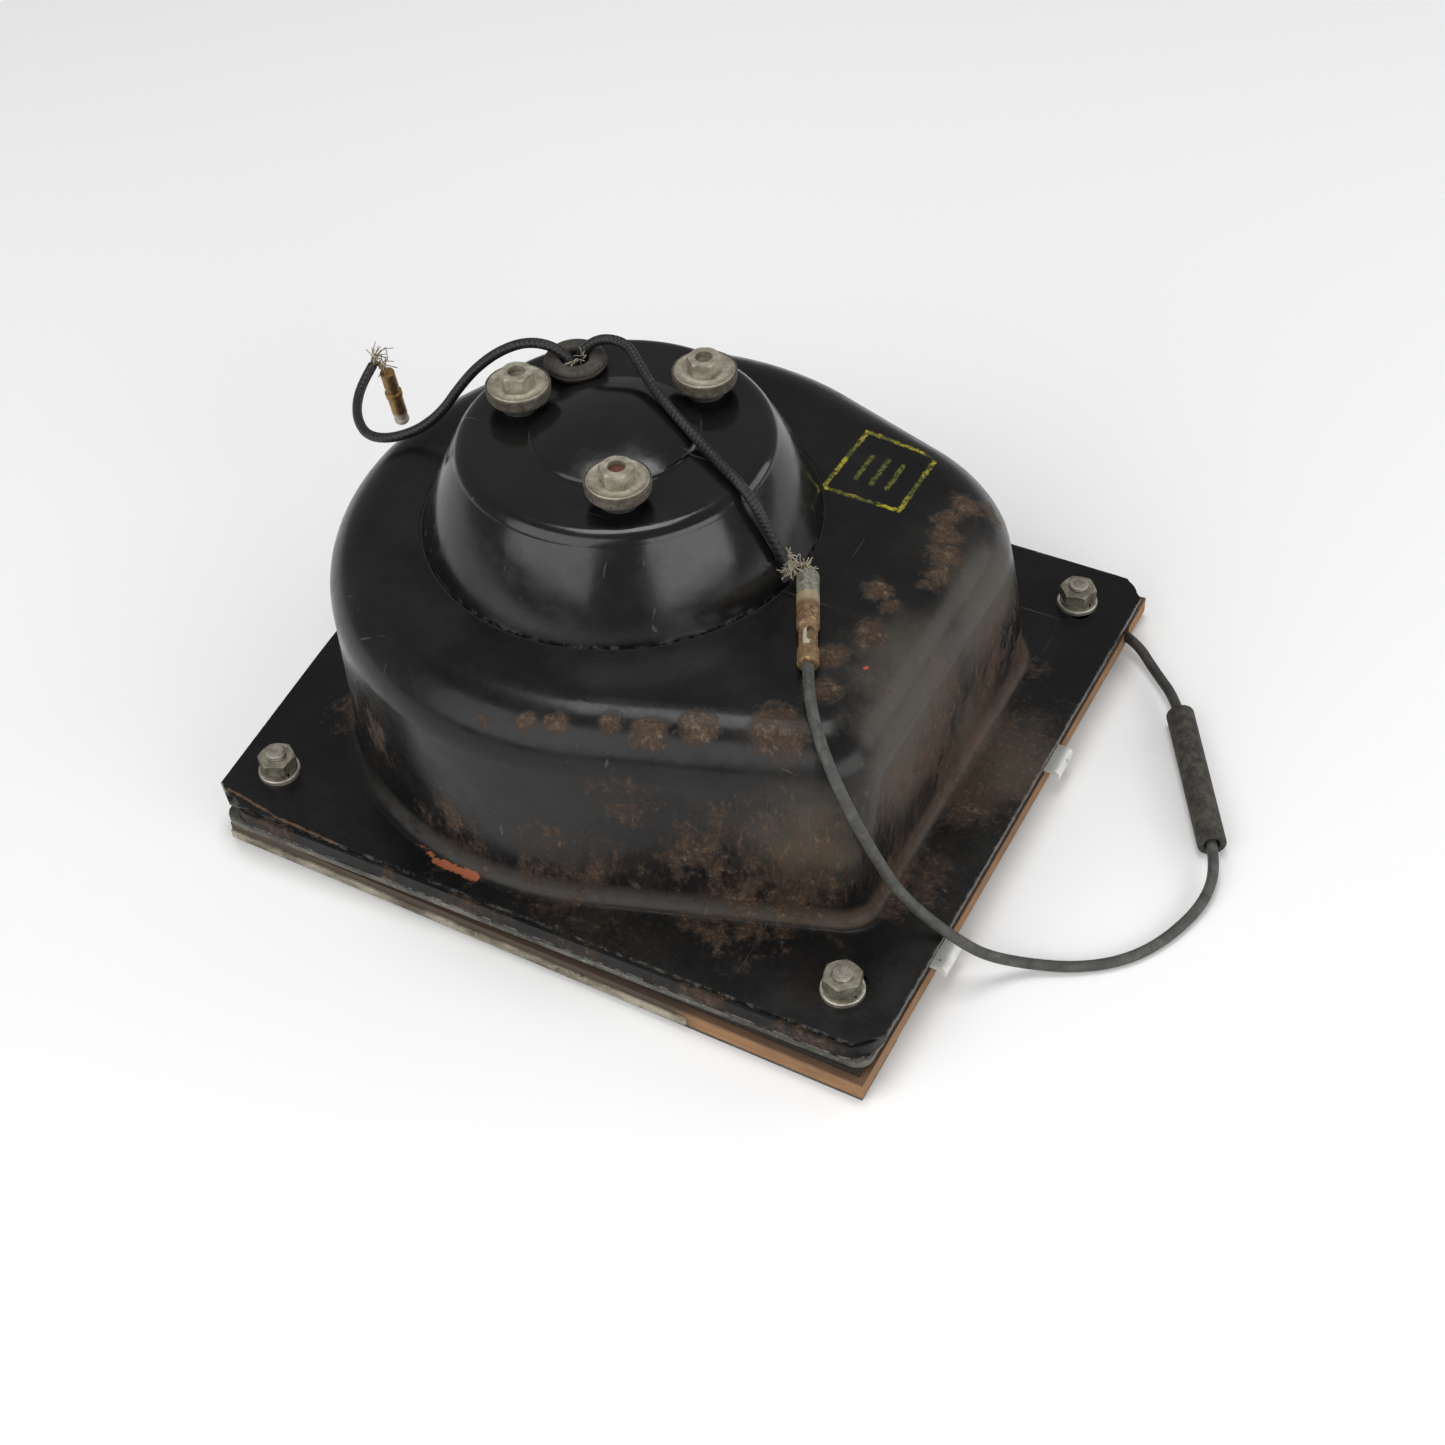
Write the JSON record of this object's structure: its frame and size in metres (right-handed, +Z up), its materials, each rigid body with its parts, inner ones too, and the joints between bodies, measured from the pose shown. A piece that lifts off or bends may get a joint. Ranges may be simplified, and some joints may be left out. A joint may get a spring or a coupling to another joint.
{
  "type": "vehicle heater blower unit",
  "caption": "Motor-driven centrifugal blower: black pressed-steel drum and motor cap on a square flange over a wooden-framed base, with braided leads, bullet connectors and a loose supply wire.",
  "frame": {"origin": "centre of the outline in plan, on the surface the base sheet rests on, measured without the free cables", "axes": "+X along the front edge of the flange, towards the two frame clips; +Y away from the front edge; +Z up, out of the motor cap"},
  "size_m": [0.2907, 0.2112, 0.1224],
  "materials": {
    "housing_enamel": "worn semi-gloss black enamel with rust",
    "cap_enamel": "gloss black enamel",
    "pan_enamel": "worn black enamel, bare lower edge",
    "mastic": "dry black mastic",
    "zinc_steel": "dull zinc plating",
    "aged_steel": "dull plating, light rust",
    "stud_steel": "oxidised",
    "pine": "planed, oiled by age",
    "felt": "matt, dirty",
    "grey_strip": "grey, corroded",
    "corroded_strip": "corroded, white salts",
    "olive_sheet": "dull",
    "clip_paint": "chipped off-white paint",
    "black_rubber": "aged",
    "bush_rubber": "aged, dusty",
    "grommet_rubber": "aged, cracked",
    "sleeve_rubber": "aged, dusty",
    "black_braid": "lacquered cotton braid",
    "grey_pvc": "dusty",
    "dark_pvc": "dusty",
    "old_brass": "tarnished",
    "motor_steel": "satin",
    "ferrite": "matt",
    "copper": "enamelled",
    "bronze": "sintered, oiled",
    "carbon": "matt",
    "bakelite": "matt",
    "wheel_steel": "galvanised"
  },
  "bodies": {
    "housing": {"blower_housing": "housing_enamel", "motor_cap": "cap_enamel", "cap_seal": "mastic", "base_pan": "pan_enamel", "backing_frame": "grey_strip", "felt_gasket": "felt", "front_batten": "pine", "back_batten": "pine", "left_batten": "pine", "right_batten": "pine", "divider_batten": "pine", "edge_strip": "corroded_strip", "base_sheet": "olive_sheet", "frame_clips": "clip_paint", "corner_studs": "stud_steel", "corner_washers": "aged_steel", "corner_spring_washers": "aged_steel", "corner_nuts": "aged_steel", "lower_bushes": "black_rubber", "mount_spacers": "black_rubber", "rim_bushes": "bush_rubber", "mount_washers": "zinc_steel", "mount_nuts": "zinc_steel", "motor_studs": "stud_steel", "cable_grommet": "grommet_rubber", "motor_case": "motor_steel", "motor_end_plate": "motor_steel", "field_magnets": "ferrite", "upper_bearing": "bronze", "lower_bearing": "bronze", "brush_holder": "bakelite", "brushes": "carbon", "brush_springs": "motor_steel", "terminal_block": "bakelite", "terminals": "old_brass", "inlet_ring": "pan_enamel", "left_lead": "black_braid", "left_bullet": "old_brass", "right_lead": "black_braid", "bullet_socket": "old_brass", "bridge_wire": "grey_pvc", "rubber_sleeve": "sleeve_rubber", "wire_splice": "old_brass", "return_wire": "dark_pvc", "return_lug": "old_brass"},
    "rotor": {"motor_shaft": "motor_steel", "armature_core": "motor_steel", "armature_windings": "copper", "commutator": "copper", "impeller_hub": "wheel_steel", "impeller_disc": "wheel_steel", "impeller_blades": "wheel_steel", "impeller_ring": "wheel_steel", "hub_screw": "motor_steel", "hub_circlip": "motor_steel"}
  },
  "joints": [
    {"name": "rotor_spin", "type": "hinge", "parent": "housing", "child": "rotor", "pos_m": [-0.0164, -0.0023, 0.06], "axis": [0, 0, 1], "continuous": true}
  ]
}
